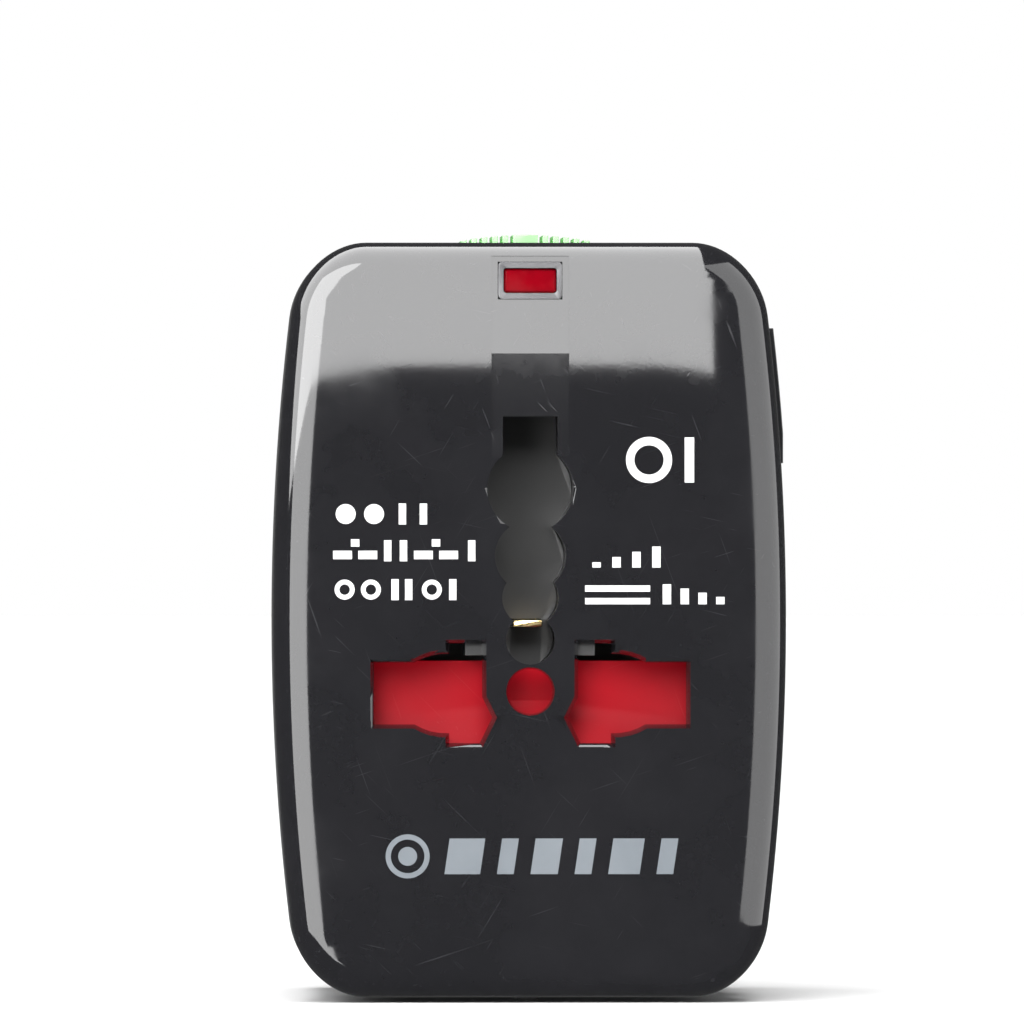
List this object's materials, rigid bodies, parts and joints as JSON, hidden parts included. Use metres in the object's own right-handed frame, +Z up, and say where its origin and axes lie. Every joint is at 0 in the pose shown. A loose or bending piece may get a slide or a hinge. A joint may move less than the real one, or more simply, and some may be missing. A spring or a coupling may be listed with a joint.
{
  "type": "universal travel adapter",
  "caption": "Pocket mains adapter: shuttered multi-standard socket in front, three slide-out plug sets behind, with a release button, light, surge board and fuse drawer.",
  "frame": {"origin": "bottom centre of the upright adapter, on the surface it stands on", "axes": "+Z up, -Y out of the socket face, +Y out of the plug side, +X to the right of someone facing the socket"},
  "size_m": [0.0493, 0.054, 0.0735],
  "materials": {
    "case_black": "high gloss, fine hairline scratches",
    "housing_black": "gloss",
    "inner_black": "moulded satin",
    "shutter_red": "semi-gloss",
    "button_green": "satin",
    "bezel_grey": "satin",
    "lens_red": "clear gloss",
    "contact_brass": "satin",
    "pin_metal": "nickel-plated",
    "steel": "plain",
    "board_green": "satin",
    "component_blue": "dipped",
    "component_tan": "painted",
    "lamp_glass": "clear",
    "ceramic": "glazed"
  },
  "bodies": {
    "case": {"front_cover": "case_black", "rear_housing": "housing_black", "socket_base": "inner_black", "live_contact": "contact_brass", "neutral_contact": "contact_brass", "earth_contact": "contact_brass", "live_bus_bar": "contact_brass", "neutral_bus_bar": "contact_brass", "shutter_spring": "steel", "light_bezel": "bezel_grey", "light_lens": "lens_red", "indicator_lamp": "lamp_glass", "surge_board": "board_green", "varistor": "component_blue", "lamp_resistor": "component_tan", "lock_spring": "steel", "fuse_clips": "contact_brass", "case_screws": "steel"},
    "shutter_body": {"shutter": "shutter_red"},
    "button_body": {"release_button": "button_green", "lock_bar": "steel"},
    "fuse_body": {"fuse_drawer": "inner_black", "fuse_tube": "ceramic", "fuse_caps": "pin_metal"},
    "uk_carriage": {"uk_plate": "inner_black", "uk_knob": "housing_black", "uk_live_pin": "contact_brass", "uk_neutral_pin": "contact_brass", "uk_earth_pin": "contact_brass", "uk_pin_sleeves": "inner_black", "uk_wipers": "contact_brass"},
    "us_carriage": {"us_plate": "inner_black", "us_knob": "housing_black", "us_wipers": "contact_brass"},
    "us_left_body": {"us_left_blade": "pin_metal", "us_left_hub": "inner_black"},
    "us_right_body": {"us_right_blade": "pin_metal", "us_right_hub": "inner_black"},
    "eu_carriage": {"eu_plate": "inner_black", "eu_knob": "housing_black", "eu_pins": "pin_metal", "eu_pin_sleeves": "inner_black", "eu_wipers": "contact_brass"}
  },
  "joints": [
    {"name": "shutter_slide", "type": "slide", "parent": "case", "child": "shutter_body", "axis": [0, 0, -1], "range_m": [0, 0.007], "stiffness_N_per_m": 60, "springref_m": -0.002, "deforming": ["shutter_spring"]},
    {"name": "button_press", "type": "slide", "parent": "case", "child": "button_body", "axis": [0, 0, -1], "range_m": [0, 0.0012], "stiffness_N_per_m": 400, "springref_m": -0.001, "deforming": ["lock_spring"]},
    {"name": "fuse_slide", "type": "slide", "parent": "case", "child": "fuse_body", "axis": [0, 1, 0], "range_m": [0, 0.02]},
    {"name": "uk_slide", "type": "slide", "parent": "case", "child": "uk_carriage", "axis": [0, 1, 0], "range_m": [0, 0.0232]},
    {"name": "us_slide", "type": "slide", "parent": "case", "child": "us_carriage", "axis": [0, 1, 0], "range_m": [0, 0.0175]},
    {"name": "eu_slide", "type": "slide", "parent": "case", "child": "eu_carriage", "axis": [0, 1, 0], "range_m": [0, 0.0195]},
    {"name": "us_left_turn", "type": "hinge", "parent": "us_carriage", "child": "us_left_body", "pos_m": [-0.00635, 0.006, 0.026], "axis": [0, 1, 0], "range_deg": [0, 30]},
    {"name": "us_right_turn", "type": "hinge", "parent": "us_carriage", "child": "us_right_body", "pos_m": [0.00635, 0.006, 0.026], "axis": [0, -1, 0], "range_deg": [0, 30]}
  ]
}
